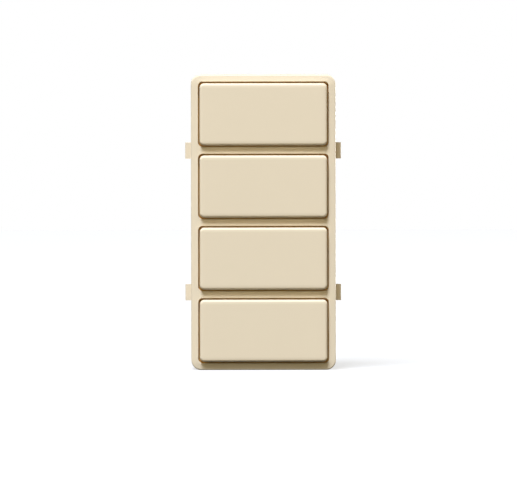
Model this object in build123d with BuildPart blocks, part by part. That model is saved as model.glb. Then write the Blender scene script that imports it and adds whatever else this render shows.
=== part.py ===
from build123d import *
import os

# Four-button wireless wall keypad that snaps into a standard rectangular wall-plate opening.
# X runs to the right, Z up, and the face looks along -Y. The origin is the centre of the rear face.
# Lengths are millimetres and angles degrees. A depth is a distance forward of the rear face.

# Face, windows and skirt of the bezel
button_count = 4
face_width = 32.6
face_height = 66.5
side_rail = 1.6
end_rail = 1.53
bar_height = 1.6
window_radius = 1.0
window_edge_radius = 0.12
face_radius = 2.2
face_edge_radius = 0.3
rail_slope_width = 1.35
rail_slope_drop = 0.17
front_wall = 1.5
skirt_wall = 1.0
bar_rib = 0.55

# Snap hooks on the bezel's long sides
hook_spacing = 32.05
hook_width = 3.65
hook_reach = 1.3
hook_length = 2.6
hook_land = 0.7
hook_tip_radius = 0.15
hook_slot = 0.7
hook_end_gap = 0.4
hook_flex_margin = 0.2
hook_notch_margin = 0.3

# Buttons
button_gap = 0.34
button_rise = 1.5
button_travel = 0.6
button_wall = 1.1
button_roof = 1.4
button_edge_radius = 0.6
shoulder_width = 0.95
shoulder_drop = 0.07
shoulder_corner = 0.05
button_rib = 0.8
button_rib_drop = 1.4
flange_thickness = 0.9
slide_clearance = 0.2
post_radius = 1.9
pin_spacing = 21.0
pin_radius = 1.2
pin_clearance = 0.08
pin_chamfer = 0.3
pin_floor_gap = 0.3

# Chassis that guides the buttons and carries the board
plate_thickness = 1.2
plate_fit = 0.2
bushing_wall = 0.85
bushing_rise = 1.0
stroke_margin = 0.4
switch_fit = 0.3
rim_wall = 1.0
rim_height = 0.6
latch_spacing = 12.0
latch_width = 5.0
latch_fit = 0.15
latch_land = 0.5
latch_setback = 0.3

# Cover screws, their bosses and columns
screw_inset = 3.6
screw_radius = 1.0
screw_fit = 0.1
pilot_fit = 0.05
head_radius = 1.9
head_height = 1.2
head_fit = 0.2
head_setback = 0.3
boss_wall = 1.15
boss_drop = 0.5
pilot_web = 0.5
screw_end_gap = 0.3
column_wall = 1.8

# Circuit board and its tactile switches
board_thickness = 1.0
board_inset = 0.3
board_hole_fit = 0.25
switch_size = 6.0
switch_floor = 0.25
switch_bottom_gap = 0.15
switch_cover_thickness = 0.3
switch_ear_width = 3.0
switch_ear_drop = 1.0
switch_ear_thickness = 0.2
plunger_radius = 1.6
plunger_collar = 0.4
plunger_collar_height = 0.5
plunger_fit = 0.15
plunger_extra = 0.5

# Radio module and small chip parts on the back of the board
radio_width = 13.0
radio_length = 17.0
radio_thickness = 0.8
radio_gap = 1.0
shield_size = 11.0
shield_height = 1.5
shield_end_margin = 1.0
shield_radius = 0.6
chip_width = 1.0
chip_length = 2.0
chip_height = 0.8
chip_pitch = 3.4
chip_rows = 4
chip_gap = 1.6

# Coin cell and its contacts
cell_radius = 10.0
cell_thickness = 3.2
cell_cap_radius = 8.8
cell_step = 0.3
cell_edge_radius = 0.25
contact_gap = 0.7
contact_thickness = 0.25
clip_fit = 0.05
clip_thickness = 0.3
clip_middle_angle = 90.0
clip_angle = 100.0
clip_tab_angle = 14.0
clip_tab_reach = 1.4
clip_cap_gap = 0.4
spring_width = 4.0
spring_foot = 4.0
spring_foot_start = 7.0
spring_bend = 4.0
spring_toe = 2.5

# Rear cover with the battery well
cover_floor = 1.6
cover_inset = 0.15
cover_edge_radius = 0.5
lip_fit = 0.15
lip_wall = 0.9
lip_rise = 2.0
board_post_radius = 1.5
board_post_offset = 4.6
side_post_inset = 3.0
battery_inset = 5.1
well_fit = 0.25
well_wall = 0.9
well_board_gap = 0.6
rim_chamfer = 0.15

# Battery cap and its bayonet
cap_setback = 0.1
cap_flange_thickness = 0.7
cap_flange_lap = 0.3
cap_fit = 0.15
cap_wall = 0.75
cell_fit = 0.2
bayonet_count = 3
bayonet_turn_angle = 45.0
lug_angle = 30.0
lug_reach = 0.9
lug_thickness = 0.8
lug_gap = 0.1
notch_play_angle = 3.0
stop_play_angle = 1.0
stop_extra = 0.2
coin_slot_length = 13.0
coin_slot_width = 1.8
coin_slot_depth = 0.7

# Sizes that follow from the face, its rails and its bars
button_pitch = (face_height - 2 * end_rail + bar_height) / button_count
window_width = face_width - 2 * side_rail
window_height = button_pitch - bar_height
cavity_width = face_width - 2 * skirt_wall
cavity_height = face_height - 2 * skirt_wall
cavity_radius = face_radius - skirt_wall
flange_seat = min((bar_height - bar_rib) / 2, side_rail - skirt_wall, end_rail - skirt_wall)
flange_lap = flange_seat - slide_clearance
flange_width = window_width + 2 * flange_lap
flange_height = window_height + 2 * flange_lap
button_width = window_width - 2 * button_gap
button_height = window_height - 2 * button_gap
button_radius = shoulder_width + shoulder_corner
button_inner_width = button_width - 2 * button_wall
button_inner_height = button_height - 2 * button_wall
hook_flex_room = hook_reach + hook_flex_margin
hook_notch_height = hook_width + 2 * hook_slot + 2 * hook_notch_margin
plate_width = cavity_width - 2 * plate_fit
plate_height = cavity_height - 2 * plate_fit
screw_span_x = cavity_width - 2 * screw_inset
screw_span_z = cavity_height - 2 * screw_inset
switch_opening = switch_size + 2 * switch_ear_thickness + 2 * switch_fit
bushing_radius = pin_radius + pin_clearance + bushing_wall
boss_radius = screw_radius + boss_wall
column_radius = screw_radius + screw_fit + column_wall

# Radii of the bayonet, from the cell outwards
cap_recess_radius = cell_radius + cell_fit
plug_radius = cap_recess_radius + cap_wall
cap_hole_radius = plug_radius + cap_fit
lug_radius = plug_radius + lug_reach
notch_radius = lug_radius + cap_fit
well_radius = lug_radius + well_fit
cap_flange_radius = notch_radius + cap_flange_lap
cap_seat_radius = cap_flange_radius + cap_fit
bayonet_pitch_angle = 360 / bayonet_count
battery_middle = well_radius + well_wall + battery_inset - cavity_height / 2
radio_middle = battery_middle + well_radius + well_wall + radio_gap + radio_length / 2

# Depths, from the rear face forward
cap_ledge = cap_setback + cap_flange_thickness
cap_seat_depth = cap_ledge + lug_gap
lug_rear = cover_floor + lug_gap
lug_front = lug_rear + lug_thickness
hook_end = cover_floor + hook_end_gap
hook_catch = hook_end + hook_length
cell_rear = lug_rear
cell_front = cell_rear + cell_thickness
board_rear = cell_front + contact_gap
board_front = board_rear + board_thickness
plate_rear = board_front + rim_height
plate_front = plate_rear + plate_thickness
bushing_top = plate_front + bushing_rise
flange_rear = bushing_top + button_travel + stroke_margin
flange_front = flange_rear + flange_thickness
face_depth = flange_front + front_wall
button_top = face_depth + button_rise
roof_depth = button_top - button_roof
hook_root = flange_front - hook_slot
pin_end = board_front + button_travel + pin_floor_gap
switch_base_top = board_front + switch_floor + switch_bottom_gap + button_travel + plunger_collar_height
switch_top = switch_base_top + switch_cover_thickness
plunger_tip = switch_top + button_travel + plunger_extra
boss_end = board_rear - boss_drop
pilot_end = plate_front - pilot_web
well_top = board_rear - well_board_gap


def level(depth, middle=0.0):
    """Plane at a depth, drawn in X and Z about a height, that extrudes towards the face."""
    return Plane(origin=(0, -depth, middle), x_dir=(1, 0, 0), z_dir=(0, -1, 0))


def side_view(middle=0.0):
    """Plane at the part's middle, drawn in height and depth, that extrudes to the right."""
    return Plane(origin=(0, 0, middle), x_dir=(0, 0, 1), z_dir=(1, 0, 0))


def top_view(height):
    """Plane at a height, drawn in X and depth, that extrudes downwards."""
    return Plane(origin=(0, 0, height), x_dir=(1, 0, 0), z_dir=(0, 0, -1))


def button_places():
    """Centres of the buttons on a level."""
    return GridLocations(0, button_pitch, 1, button_count)


def pin_places():
    """Centres of all guide pins on a level."""
    return GridLocations(pin_spacing, button_pitch, 2, button_count)


def screw_places():
    """Centres of the cover screws on a level."""
    return GridLocations(screw_span_x, screw_span_z, 2, 2)


def hook_notches():
    """Cut the room that the hooks flex into from the sketch of a plate inside the skirt."""
    with GridLocations(cavity_width, hook_spacing, 2, 2):
        Rectangle(2 * hook_flex_room, hook_notch_height, mode=Mode.SUBTRACT)


def ring_sector(inner_radius, outer_radius, start, span):
    """Add a part of a ring, from a start angle over a span, to the sketch."""
    with BuildLine() as outline:
        outer = CenterArc((0, 0), outer_radius, start, span)
        inner = CenterArc((0, 0), inner_radius, start, span)
        Line(outer @ 0, inner @ 0)
        Line(outer @ 1, inner @ 1)
    make_face(outline.edges())


def slope_and_round(moulding, front_depth, slope_width, slope_drop, rim_radius):
    """Slope the border of a moulding's front face outwards and round its rim over."""
    front = moulding.faces().sort_by(Axis.Y)[0]
    chamfer(front.edges(), slope_width, slope_drop, reference=front)
    rim_level = slope_drop - front_depth
    fillet(moulding.edges().filter_by_position(Axis.Y, rim_level, rim_level), rim_radius)


# Bezel: rounded frame with sloping rails, four windows, a skirt, ribs behind the bars and snap hooks
with BuildPart() as bezel:
    with BuildSketch(level(cover_floor)):
        RectangleRounded(face_width, face_height, face_radius)
    extrude(amount=face_depth - cover_floor)
    slope_and_round(bezel, face_depth, rail_slope_width, rail_slope_drop, face_edge_radius)
    with BuildSketch(level(cover_floor)):
        RectangleRounded(cavity_width, cavity_height, cavity_radius)
    extrude(amount=flange_front - cover_floor, mode=Mode.SUBTRACT)
    with BuildSketch(level(flange_front)):
        with button_places():
            RectangleRounded(window_width, window_height, window_radius)
    extrude(amount=front_wall, mode=Mode.SUBTRACT)
    face = bezel.faces().sort_by(Axis.Y)[0]
    fillet([edge for rim in face.inner_wires() for edge in rim.edges()], window_edge_radius)
    with BuildSketch(level(plate_front)):
        with GridLocations(0, button_pitch, 1, button_count - 1):
            Rectangle(cavity_width - 2 * hook_flex_room, bar_rib)
    extrude(amount=flange_front - plate_front)

    # Slots that free each hook's finger from the skirt
    slot_length = hook_root - cover_floor + hook_slot
    for side in (1, -1):
        wall = Plane(origin=(side * cavity_width / 2, 0, 0), x_dir=(0, -1, 0), z_dir=(side, 0, 0))
        with BuildSketch(wall):
            with Locations((hook_root - slot_length / 2, 0)):
                with GridLocations(0, hook_spacing, 1, 2):
                    with GridLocations(0, hook_width + hook_slot, 1, 2):
                        SlotOverall(slot_length, hook_slot)
            with Locations((cover_floor + hook_end_gap / 2, 0)):
                with GridLocations(0, hook_spacing, 1, 2):
                    Rectangle(hook_end_gap, hook_width + hook_slot)
        extrude(amount=skirt_wall, mode=Mode.SUBTRACT)

    # Hooks: a flat catch that faces forward and a ramp that leads in from the rear
    finger_middle = (face_width - skirt_wall) / 2
    hook_tip = face_width / 2 + hook_reach
    for height in (hook_spacing / 2, -hook_spacing / 2):
        for side in (1, -1):
            with BuildSketch(top_view(height)):
                with BuildLine():
                    Polyline(
                        (side * finger_middle, hook_end),
                        (side * face_width / 2, hook_end),
                        (side * hook_tip, hook_catch - hook_land),
                        (side * hook_tip, hook_catch),
                        (side * finger_middle, hook_catch),
                        close=True,
                    )
                make_face()
            extrude(amount=hook_width / 2, both=True)
    tip_edges = bezel.edges().filter_by(Axis.Z).group_by(Axis.X)
    fillet(tip_edges[0] + tip_edges[-1], hook_tip_radius)

    # Windows in the end walls for the chassis latches
    for end in (1, -1):
        end_wall = Plane(origin=(0, 0, end * cavity_height / 2), x_dir=(1, 0, 0), z_dir=(0, 0, end))
        with BuildSketch(end_wall):
            with Locations((0, end * -(plate_rear + plate_front + latch_fit) / 2)):
                with GridLocations(latch_spacing, 0, 2, 1):
                    Rectangle(latch_width + 2 * latch_fit, plate_thickness + latch_fit)
        extrude(amount=skirt_wall, mode=Mode.SUBTRACT)
bezel.part.label = "bezel"


def make_button(number, middle):
    """One hollow button with its flange, switch post, guide pins and stiffening ribs."""
    with BuildPart() as button:
        with BuildSketch(level(flange_rear, middle)):
            RectangleRounded(flange_width, flange_height, cavity_radius)
        extrude(amount=flange_thickness)
        with BuildSketch(level(flange_front, middle)):
            RectangleRounded(button_width, button_height, button_radius)
        extrude(amount=button_top - flange_front)
        slope_and_round(button, button_top, shoulder_width, shoulder_drop, button_edge_radius)
        with BuildSketch(level(flange_rear, middle)):
            Rectangle(button_inner_width, button_inner_height)
        extrude(amount=roof_depth - flange_rear, mode=Mode.SUBTRACT)
        with BuildSketch(level(roof_depth - button_rib_drop, middle)):
            Rectangle(button_inner_width, button_rib)
            with GridLocations(pin_spacing, 0, 2, 1):
                Rectangle(button_rib, button_inner_height)
        extrude(amount=button_rib_drop)
        with BuildSketch(level(plunger_tip, middle)):
            Circle(post_radius)
        extrude(amount=roof_depth - plunger_tip)
        with BuildSketch(level(pin_end, middle)):
            with GridLocations(pin_spacing, 0, 2, 1):
                Circle(pin_radius)
        extrude(amount=roof_depth - pin_end)
        chamfer(button.faces().group_by(Axis.Y)[-1].edges(), pin_chamfer)
    button.part.label = f"button_{number}"
    return button.part


# Chassis: plate with bushings for the pins, rims round the switches, screw bosses and end latches
with BuildPart() as chassis:
    with BuildSketch(level(plate_rear)):
        RectangleRounded(plate_width, plate_height, cavity_radius)
        hook_notches()
        with button_places():
            Rectangle(switch_opening, switch_opening, mode=Mode.SUBTRACT)
    extrude(amount=plate_thickness)
    with BuildSketch(level(plate_front)):
        with pin_places():
            Circle(bushing_radius)
    extrude(amount=bushing_rise)
    with BuildSketch(level(board_front)):
        with button_places():
            Rectangle(switch_opening + 2 * rim_wall, switch_opening + 2 * rim_wall)
        with button_places():
            Rectangle(switch_opening, switch_opening, mode=Mode.SUBTRACT)
    extrude(amount=rim_height)
    with BuildSketch(level(boss_end)):
        with screw_places():
            Circle(boss_radius)
    extrude(amount=plate_rear - boss_end)
    with BuildSketch(level(boss_end)):
        with screw_places():
            Circle(screw_radius + pilot_fit)
    extrude(amount=pilot_end - boss_end, mode=Mode.SUBTRACT)
    with BuildSketch(level(plate_rear)):
        with pin_places():
            Circle(pin_radius + pin_clearance)
    extrude(amount=bushing_top - plate_rear, mode=Mode.SUBTRACT)
    latch_tip = face_height / 2 - latch_setback
    for end in (1, -1):
        with BuildSketch(side_view()):
            with BuildLine():
                Polyline(
                    (end * (plate_height / 2 - plate_thickness), plate_rear),
                    (end * latch_tip, plate_rear),
                    (end * latch_tip, plate_rear + latch_land),
                    (end * plate_height / 2, plate_front),
                    (end * (plate_height / 2 - plate_thickness), plate_front),
                    close=True,
                )
            make_face()
        latch = extrude(amount=latch_width / 2, both=True, mode=Mode.PRIVATE)
        with Locations((latch_spacing / 2, 0, 0), (-latch_spacing / 2, 0, 0)):
            add(latch)
chassis.part.label = "chassis"

# Circuit board, notched beside the hooks and bored for the chassis bosses
with BuildPart() as circuit_board:
    with BuildSketch(level(board_rear)):
        RectangleRounded(plate_width - 2 * board_inset, plate_height - 2 * board_inset, cavity_radius)
        hook_notches()
        with screw_places():
            Circle(boss_radius + board_hole_fit, mode=Mode.SUBTRACT)
    extrude(amount=board_thickness)
circuit_board.part.label = "circuit_board"


def make_switch_base(number, middle):
    """Moulded base of one tactile switch, with the well that the plunger's collar drops into."""
    with BuildPart() as base:
        with BuildSketch(level(board_front, middle)):
            Rectangle(switch_size, switch_size)
        extrude(amount=switch_base_top - board_front)
        with BuildSketch(level(board_front + switch_floor, middle)):
            Circle(plunger_radius + plunger_collar + plunger_fit)
        extrude(amount=switch_base_top - board_front - switch_floor, mode=Mode.SUBTRACT)
    base.part.label = f"switch_base_{number}"
    return base.part


def make_switch_cover(number, middle):
    """Stamped cover of one tactile switch, with two ears folded down its sides."""
    with BuildPart() as cover:
        with BuildSketch(level(switch_base_top, middle)):
            Rectangle(switch_size, switch_size)
            Rectangle(switch_size + 2 * switch_ear_thickness, switch_ear_width)
            Circle(plunger_radius + plunger_fit, mode=Mode.SUBTRACT)
        extrude(amount=switch_cover_thickness)
        with BuildSketch(level(switch_base_top - switch_ear_drop, middle)):
            with GridLocations(switch_size + switch_ear_thickness, 0, 2, 1):
                Rectangle(switch_ear_thickness, switch_ear_width)
        extrude(amount=switch_ear_drop)
    cover.part.label = f"switch_cover_{number}"
    return cover.part


def make_switch_plunger(number, middle):
    """Plunger of one tactile switch, held in by a collar under the cover."""
    with BuildPart() as plunger:
        with BuildSketch(level(switch_base_top - plunger_collar_height, middle)):
            Circle(plunger_radius + plunger_collar)
        extrude(amount=plunger_collar_height)
        with BuildSketch(level(switch_base_top, middle)):
            Circle(plunger_radius)
        extrude(amount=plunger_tip - switch_base_top)
    plunger.part.label = f"switch_plunger_{number}"
    return plunger.part


# Radio module: a small board and its shield can, on the back of the circuit board
with BuildPart() as radio_board:
    with BuildSketch(level(board_rear - radio_thickness, radio_middle)):
        Rectangle(radio_width, radio_length)
    extrude(amount=radio_thickness)
radio_board.part.label = "radio_board"

with BuildPart() as radio_shield:
    shield_front = board_rear - radio_thickness
    shield_middle = radio_middle - (radio_length - shield_size) / 2 + shield_end_margin
    with BuildSketch(level(shield_front - shield_height, shield_middle)):
        RectangleRounded(shield_size, shield_size, shield_radius)
    extrude(amount=shield_height)
radio_shield.part.label = "radio_shield"

# Chip capacitors and resistors in a column on each side of the radio module
with BuildPart() as chip_parts:
    with BuildSketch(level(board_rear - chip_height, radio_middle)):
        with GridLocations(radio_width + 2 * chip_gap, chip_pitch, 2, chip_rows):
            Rectangle(chip_width, chip_length)
    extrude(amount=chip_height)
chip_parts.part.label = "chip_parts"

# Coin cell: can with a smaller cap towards the board
with BuildPart() as coin_cell:
    with BuildSketch(level(cell_rear, battery_middle)):
        Circle(cell_radius)
    extrude(amount=cell_thickness - cell_step)
    fillet(coin_cell.edges(), cell_edge_radius)
    with BuildSketch(level(cell_front - cell_step, battery_middle)):
        Circle(cell_cap_radius)
    extrude(amount=cell_step)
coin_cell.part.label = "coin_cell"

# Plus contact: a curved strip along the cell's rim with two feet on the board
with BuildPart() as cell_clip:
    clip_inner = cell_radius + clip_fit
    clip_outer = clip_inner + clip_thickness
    clip_rear = lug_front + clip_cap_gap
    clip_start = clip_middle_angle - clip_angle / 2
    with BuildSketch(level(clip_rear, battery_middle)):
        ring_sector(clip_inner, clip_outer, clip_start, clip_angle)
    extrude(amount=board_rear - clip_rear)
    with BuildSketch(level(board_rear - contact_thickness, battery_middle)):
        for foot_start in (clip_start, clip_start + clip_angle - clip_tab_angle):
            ring_sector(clip_inner, clip_outer + clip_tab_reach, foot_start, clip_tab_angle)
    extrude(amount=contact_thickness)
cell_clip.part.label = "cell_clip"

# Minus contact: a leaf whose foot lies on the board and whose toe presses on the cell
with BuildPart() as cell_spring:
    bend_start = spring_foot_start - spring_foot
    bend_end = bend_start - spring_bend
    toe_depth = cell_front + contact_thickness
    with BuildSketch(side_view(battery_middle)):
        with BuildLine():
            Polyline(
                (spring_foot_start, board_rear),
                (bend_start, board_rear),
                (bend_end, toe_depth),
                (bend_end - spring_toe, toe_depth),
                (bend_end - spring_toe, cell_front),
                (bend_end, cell_front),
                (bend_start, board_rear - contact_thickness),
                (spring_foot_start, board_rear - contact_thickness),
                close=True,
            )
        make_face()
    extrude(amount=spring_width / 2, both=True)
cell_spring.part.label = "cell_spring"

# Rear cover: floor with a lip inside the skirt, board posts, screw columns and the battery well
with BuildPart() as rear_cover:
    cover_width = face_width - 2 * cover_inset
    cover_height = face_height - 2 * cover_inset
    with BuildSketch(level(0)):
        RectangleRounded(cover_width, cover_height, face_radius - cover_inset)
    extrude(amount=cover_floor)
    fillet(rear_cover.faces().sort_by(Axis.Y)[-1].edges(), cover_edge_radius)
    lip_width = cavity_width - 2 * lip_fit
    lip_height = cavity_height - 2 * lip_fit
    with BuildSketch(level(cover_floor)):
        RectangleRounded(lip_width, lip_height, cavity_radius)
        Rectangle(lip_width - 2 * lip_wall, lip_height - 2 * lip_wall, mode=Mode.SUBTRACT)
        hook_notches()
    extrude(amount=lip_rise)
    with BuildSketch(level(cover_floor)):
        with screw_places():
            Circle(column_radius)
    extrude(amount=boss_end - cover_floor)
    with BuildSketch(level(cover_floor)):
        with GridLocations(screw_span_x - 2 * board_post_offset, screw_span_z, 2, 2):
            Circle(board_post_radius)
        with GridLocations(cavity_width - 2 * side_post_inset, 0, 2, 1):
            Circle(board_post_radius)
    extrude(amount=board_rear - cover_floor)
    with BuildSketch(level(cover_floor, battery_middle)):
        Circle(well_radius + well_wall)
        Circle(well_radius, mode=Mode.SUBTRACT)
    extrude(amount=well_top - cover_floor)

    # Opening for the cap: a seat for its flange, a ledge, and notches that let the lugs through
    with BuildSketch(level(0, battery_middle)):
        Circle(cap_seat_radius)
    extrude(amount=cap_seat_depth, mode=Mode.SUBTRACT)
    with BuildSketch(level(cap_seat_depth, battery_middle)):
        Circle(cap_hole_radius)
        for index in range(bayonet_count):
            notch_start = index * bayonet_pitch_angle - lug_angle / 2 - notch_play_angle
            ring_sector(plug_radius, notch_radius, notch_start, lug_angle + 2 * notch_play_angle)
    extrude(amount=cover_floor - cap_seat_depth, mode=Mode.SUBTRACT)

    # Blocks in the well that stop the lugs at both ends of the turn
    with BuildSketch(level(cover_floor, battery_middle)):
        stop_angle = bayonet_pitch_angle - bayonet_turn_angle - lug_angle - 2 * stop_play_angle
        for index in range(bayonet_count):
            stop_start = index * bayonet_pitch_angle + bayonet_turn_angle + lug_angle / 2 + stop_play_angle
            ring_sector(cap_hole_radius, well_radius + well_wall / 2, stop_start, stop_angle)
    extrude(amount=lug_front + stop_extra - cover_floor)

    # Counterbored screw holes from the rear
    with Locations(Plane(origin=(0, 0, 0), x_dir=(1, 0, 0), z_dir=(0, 1, 0))):
        with screw_places():
            CounterBoreHole(
                radius=screw_radius + screw_fit,
                counter_bore_radius=head_radius + head_fit,
                counter_bore_depth=head_setback + head_height,
                depth=boss_end,
            )
    cover_rear = rear_cover.faces().sort_by(Axis.Y)[-1]
    chamfer([edge for rim in cover_rear.inner_wires() for edge in rim.edges()], rim_chamfer)
rear_cover.part.label = "rear_cover"

# Battery cap: flange, plug that holds the cell, bayonet lugs and a coin slot
with BuildPart() as battery_cap:
    with BuildSketch(level(cap_setback, battery_middle)):
        Circle(cap_flange_radius)
    extrude(amount=cap_flange_thickness)
    with BuildSketch(level(cap_ledge, battery_middle)):
        Circle(plug_radius)
    extrude(amount=lug_front - cap_ledge)
    with BuildSketch(level(lug_rear, battery_middle)):
        for index in range(bayonet_count):
            lug_start = index * bayonet_pitch_angle + bayonet_turn_angle - lug_angle / 2
            ring_sector(plug_radius - cap_wall / 2, lug_radius, lug_start, lug_angle)
    extrude(amount=lug_thickness)
    with BuildSketch(level(cell_rear, battery_middle)):
        Circle(cap_recess_radius)
    extrude(amount=lug_front - cell_rear, mode=Mode.SUBTRACT)
    with BuildSketch(level(cap_setback, battery_middle)):
        SlotOverall(coin_slot_length, coin_slot_width)
    extrude(amount=coin_slot_depth, mode=Mode.SUBTRACT)
    chamfer(battery_cap.faces().sort_by(Axis.Y)[-1].edges(), rim_chamfer)
battery_cap.part.label = "battery_cap"

# Cover screws: pan heads sunk in the rear cover, shanks in the chassis bosses
with BuildPart() as cover_screws:
    with BuildSketch(level(head_setback)):
        with screw_places():
            Circle(head_radius)
    extrude(amount=head_height)
    with BuildSketch(level(head_setback + head_height)):
        with screw_places():
            Circle(screw_radius)
    extrude(amount=pilot_end - screw_end_gap - head_setback - head_height)
cover_screws.part.label = "cover_screws"

pieces = [
    bezel.part,
    chassis.part,
    circuit_board.part,
    radio_board.part,
    radio_shield.part,
    chip_parts.part,
    coin_cell.part,
    cell_clip.part,
    cell_spring.part,
    rear_cover.part,
    battery_cap.part,
    cover_screws.part,
]
for index in range(button_count):
    middle = ((button_count - 1) / 2 - index) * button_pitch
    pieces.append(make_button(index + 1, middle))
    pieces.append(make_switch_base(index + 1, middle))
    pieces.append(make_switch_cover(index + 1, middle))
    pieces.append(make_switch_plunger(index + 1, middle))

os.makedirs("parts", exist_ok=True)
for piece in pieces:
    export_step(piece, f"parts/{piece.label}.step")
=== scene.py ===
import logging
import math
from collections.abc import Callable, Sequence
from dataclasses import dataclass
from enum import Enum

import bmesh
import bpy
from mathutils import Matrix, Quaternion, Vector


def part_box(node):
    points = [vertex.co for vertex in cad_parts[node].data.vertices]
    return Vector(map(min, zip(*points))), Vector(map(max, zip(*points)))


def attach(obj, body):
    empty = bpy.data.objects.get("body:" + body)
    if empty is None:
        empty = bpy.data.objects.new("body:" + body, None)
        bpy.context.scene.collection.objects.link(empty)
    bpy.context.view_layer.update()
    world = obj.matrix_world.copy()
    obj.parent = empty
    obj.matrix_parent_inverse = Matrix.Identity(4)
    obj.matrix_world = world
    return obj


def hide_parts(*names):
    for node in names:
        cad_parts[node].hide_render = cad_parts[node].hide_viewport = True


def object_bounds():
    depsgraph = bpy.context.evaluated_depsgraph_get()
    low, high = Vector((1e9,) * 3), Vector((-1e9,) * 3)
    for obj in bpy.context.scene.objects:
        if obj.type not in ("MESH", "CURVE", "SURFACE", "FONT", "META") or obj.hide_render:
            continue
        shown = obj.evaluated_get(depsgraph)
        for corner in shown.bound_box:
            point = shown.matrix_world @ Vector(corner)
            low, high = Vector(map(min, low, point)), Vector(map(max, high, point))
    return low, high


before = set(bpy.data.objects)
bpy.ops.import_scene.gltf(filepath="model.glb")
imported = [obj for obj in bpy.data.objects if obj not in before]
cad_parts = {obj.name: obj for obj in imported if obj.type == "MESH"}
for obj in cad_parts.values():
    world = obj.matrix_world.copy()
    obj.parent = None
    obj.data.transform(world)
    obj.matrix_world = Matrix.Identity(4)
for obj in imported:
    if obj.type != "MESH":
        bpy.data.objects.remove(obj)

CAD_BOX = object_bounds()
MM = 0.001
NEAR = 0.0001 * MM  # slack when points are picked by their place
DOUBLED = 0.0005 * MM  # points closer than this are merged
SMOOTH_ANGLE = math.radians(32.0)  # sharper edges stay sharp
UPRIGHT = (math.pi / 2, 0.0, 0.0)  # turn that stands a flat shape up to face the rear
REARWARDS = (0.0, 1.0, 0.0)
WHITE = (1.0, 1.0, 1.0)
OCTAVE_SHARE = 0.55  # strength of each finer octave of a noise
NOISE_SPAN = (0.3, 0.7)  # part of a noise's range that most of it lies in

Colour = tuple[float, float, float]
Pair = tuple[float, float]
Finish = bpy.types.Material
Piece = bpy.types.Object
Socket = bpy.types.NodeSocket

log = logging.getLogger("keypad")


class Body(Enum):
    """The moving bodies that new pieces ride on."""

    HOUSING = "housing"
    BATTERY_CAP = "battery_cap"


class Slot(Enum):
    """Names of material slots passed along with new pieces; nothing reads them."""

    SCREW_STEEL = "screw_steel"
    TINNED_STEEL = "tinned_steel"
    CONTACT_METAL = "contact_metal"
    CHIP_CERAMIC = "chip_ceramic"
    REAR_PLASTIC = "rear_plastic"


class NodeSheet:
    """The nodes of one material or of the surroundings, added and wired in code."""

    def __init__(self, tree: bpy.types.NodeTree) -> None:
        """Clear the node tree that is filled."""
        self.nodes, self.links = tree.nodes, tree.links
        self.nodes.clear()

    def add(self, kind: str, inputs: dict[str | int, object], **settings: str) -> bpy.types.Node:
        """Add a node.

        Args:
            kind: Blender's name of the node, without the ShaderNode in front.
            inputs: Value of each input, or the socket that feeds it.
            **settings: Options of the node.

        Returns:
            The new node.
        """
        node = self.nodes.new(f"ShaderNode{kind}")
        for name, value in settings.items():
            setattr(node, name, value)
        for name, value in inputs.items():
            if isinstance(value, Socket):
                self.links.new(value, node.inputs[name])
            else:
                node.inputs[name].default_value = value
        return node

    def ramp(self, source: Socket, span: Pair, values: Pair) -> Socket:
        """Map a span of a value to a span of other values, and hold its ends."""
        ends = {"From Min": span[0], "From Max": span[1], "To Min": values[0], "To Max": values[1]}
        return self.add("MapRange", {"Value": source, **ends}).outputs["Result"]

    def maths(self, operation: str, first: Socket, second: Socket | float = 0.0) -> Socket:
        """Join two values by one operation."""
        return self.add("Math", {0: first, 1: second}, operation=operation).outputs[0]

    def blend(self, share: Socket, first: Socket | Colour, second: Colour) -> Socket:
        """Blend from a colour, or a colour socket, to another colour."""
        start = (*first, 1.0) if isinstance(first, tuple) else first
        return self.add("Mix", {0: share, 6: start, 7: (*second, 1.0)}, data_type="RGBA").outputs[2]


class ShaderBoard(NodeSheet):
    """A new node material with a principled shader wired to its output."""

    def __init__(self, name: str) -> None:
        """Start the material.

        Args:
            name: Name of the material.
        """
        self.material = bpy.data.materials.new(name)
        self.material.use_nodes = True
        super().__init__(self.material.node_tree)
        self.shader = self.add("BsdfPrincipled", {})
        self.add("OutputMaterial", {"Surface": self.shader.outputs["BSDF"]})
        self.place = self.add("TexCoord", {}).outputs["Object"]

    def feed(self, source: Socket, name: str) -> None:
        """Wire a socket to one of the shader's inputs."""
        self.links.new(source, self.shader.inputs[name])

    def parts(self) -> bpy.types.NodeOutputs:
        """Give the X, Y and Z sockets of the object coordinates."""
        return self.add("SeparateXYZ", {0: self.place}).outputs

    def mapped(
        self, turn: Sequence[float] = (0.0, 0.0, 0.0), scale: Sequence[float] = (1.0, 1.0, 1.0)
    ) -> Socket:
        """Turn the object coordinates by angles in degrees and stretch them by factors."""
        settings = {"Rotation": [math.radians(angle) for angle in turn], "Scale": scale}
        return self.add("Mapping", {"Vector": self.place, **settings}).outputs["Vector"]

    def noise(self, size: float, detail: float = 2.0, place: Socket | None = None) -> Socket:
        """Add a noise from 0 to 1, with patches of a size in metres and finer octaves."""
        settings = {"Scale": 1.0 / size, "Detail": detail, "Roughness": OCTAVE_SHARE}
        return self.add("TexNoise", {"Vector": place or self.place, **settings}).outputs["Fac"]

    def spread(self, source: Socket, low: float, high: float) -> Socket:
        """Map the middle part of a noise to a range of values."""
        return self.ramp(source, NOISE_SPAN, (low, high))

    def relief(self, source: Socket, height: float, strength: float) -> None:
        """Raise the surface by a pattern, up to a height in metres, and show a share of it."""
        bump = self.add("Bump", {"Height": source, "Distance": height, "Strength": strength})
        self.feed(bump.outputs["Normal"], "Normal")


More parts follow.
